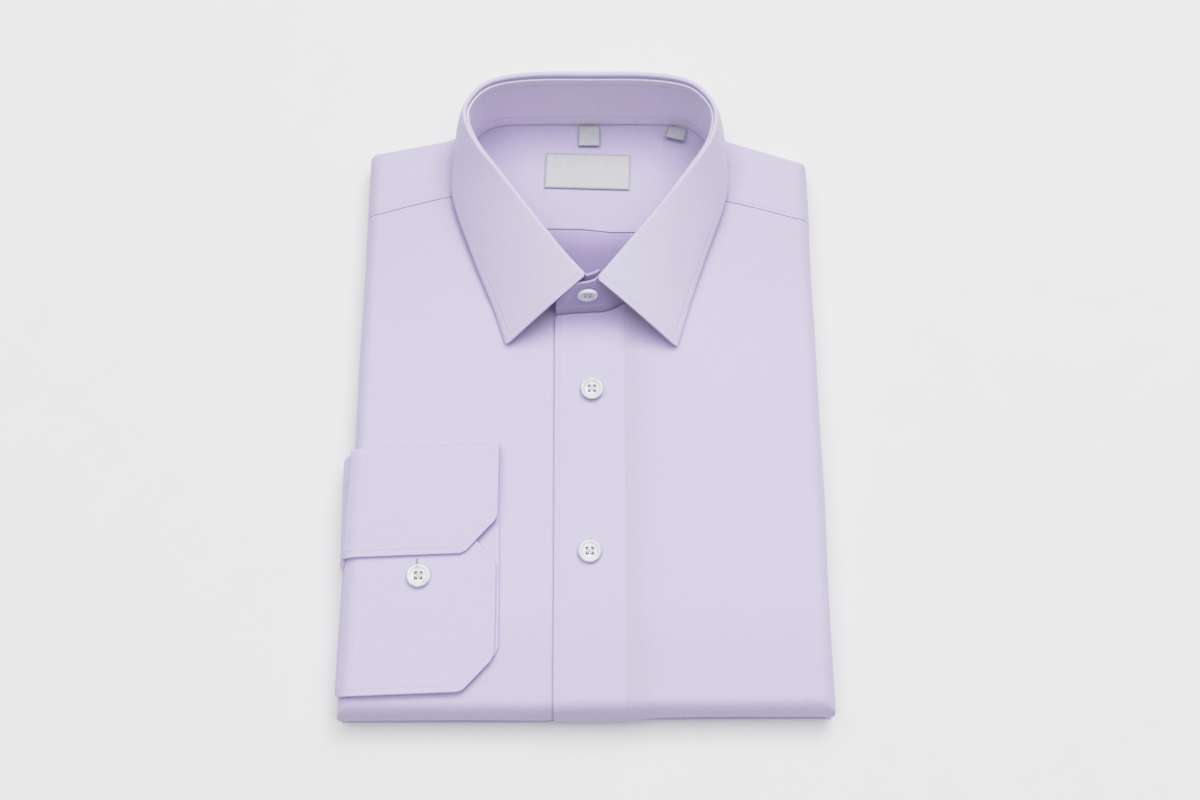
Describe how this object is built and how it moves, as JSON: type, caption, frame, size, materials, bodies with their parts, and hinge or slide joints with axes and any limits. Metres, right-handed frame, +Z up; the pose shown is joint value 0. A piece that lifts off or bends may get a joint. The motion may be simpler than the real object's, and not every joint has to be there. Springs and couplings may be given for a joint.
{
  "type": "folded long sleeve dress shirt",
  "caption": "Long sleeve dress shirt folded flat for a shelf, with a standing point collar, a front placket and one buttoned cuff on its front.",
  "frame": {"origin": "centre of the folded shirt's bounding box, on the surface that it lies on", "axes": "+Y from the hem end to the collar, +Z up out of the front of the shirt, +X towards the wearer's left front"},
  "size_m": [0.2392, 0.3318, 0.0603],
  "materials": {
    "cloth": "fine plain weave cotton, pale lavender, soft sheen",
    "label": "bare grey satin ribbon",
    "button": "pearly white, glossy"
  },
  "bodies": {
    "root": {"folded_layers": "cloth", "front_right": "cloth", "front_left": "cloth", "front_placket": "cloth", "yoke": "cloth", "inner_yoke": "cloth", "back_panel": "cloth", "collar_stand": "cloth", "collar_leaf": "cloth", "cuff": "cloth", "cuff_button_end": "cloth", "sleeve": "cloth", "neck_label": "label", "care_tab": "label", "size_tab": "label", "collar_button": "button", "front_button_upper": "button", "front_button_lower": "button", "cuff_button": "button"}
  },
  "joints": []
}
